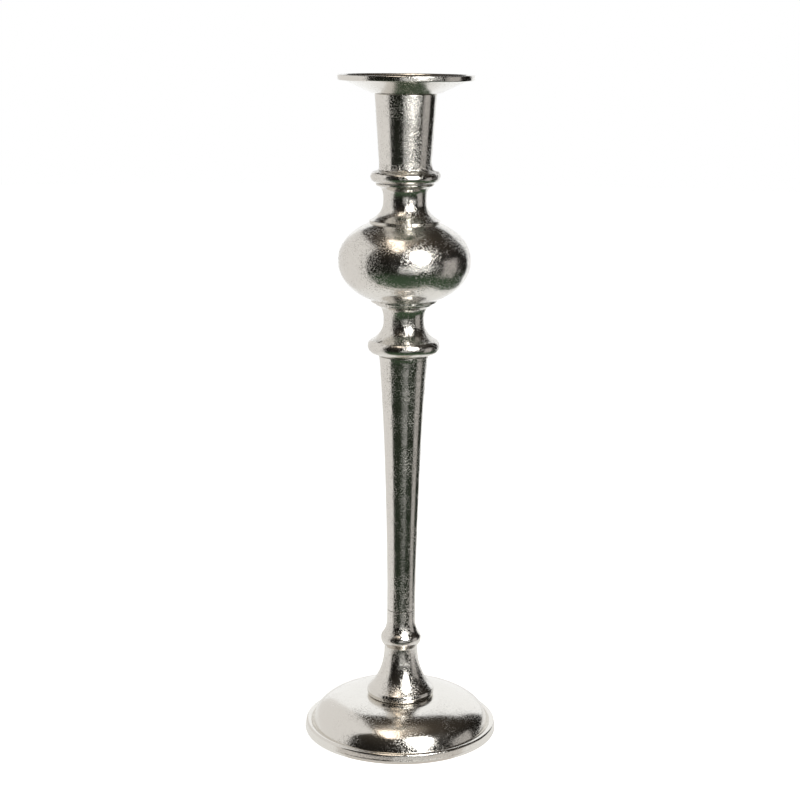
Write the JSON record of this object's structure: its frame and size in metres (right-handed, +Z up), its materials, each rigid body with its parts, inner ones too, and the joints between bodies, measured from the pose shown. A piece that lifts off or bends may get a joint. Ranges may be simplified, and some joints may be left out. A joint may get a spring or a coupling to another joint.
{
  "type": "candlestick",
  "caption": "Tall nickel-plated cast candlestick for a dinner candle, with a bulbous knop, slender shaft, domed round foot and lift-off drip plate.",
  "frame": {"origin": "centre of the underside, on the plane of the table that the candlestick stands on", "axes": "+Z up along the turning axis, from the base to the drip plate; +X to the right and -Y towards the viewer"},
  "size_m": [0.1182, 0.1182, 0.4],
  "materials": {
    "polished_nickel": "nickel plate over cast aluminium, polished, with fine casting grain",
    "cast_nickel": "nickel plate over sand-cast aluminium, bright and granular",
    "zinc_plated_steel": "bright zinc plated",
    "grey_board": "pressed grey board",
    "black_felt": "pressed felt"
  },
  "bodies": {
    "stand": {"base": "polished_nickel", "foot_stem": "cast_nickel", "shaft": "cast_nickel", "knop": "cast_nickel", "candle_cup": "cast_nickel", "cup_stud": "zinc_plated_steel", "knop_stud": "zinc_plated_steel", "shaft_stud": "zinc_plated_steel", "base_bolt": "zinc_plated_steel", "base_washer": "zinc_plated_steel", "lock_washer": "zinc_plated_steel", "backing_board": "grey_board", "felt_pad": "black_felt"},
    "plate": {"drip_plate": "polished_nickel"}
  },
  "joints": [
    {"name": "drip_plate_lift", "type": "slide", "parent": "stand", "child": "plate", "axis": [0, 0, 1], "range_m": [0, 0.025]}
  ]
}
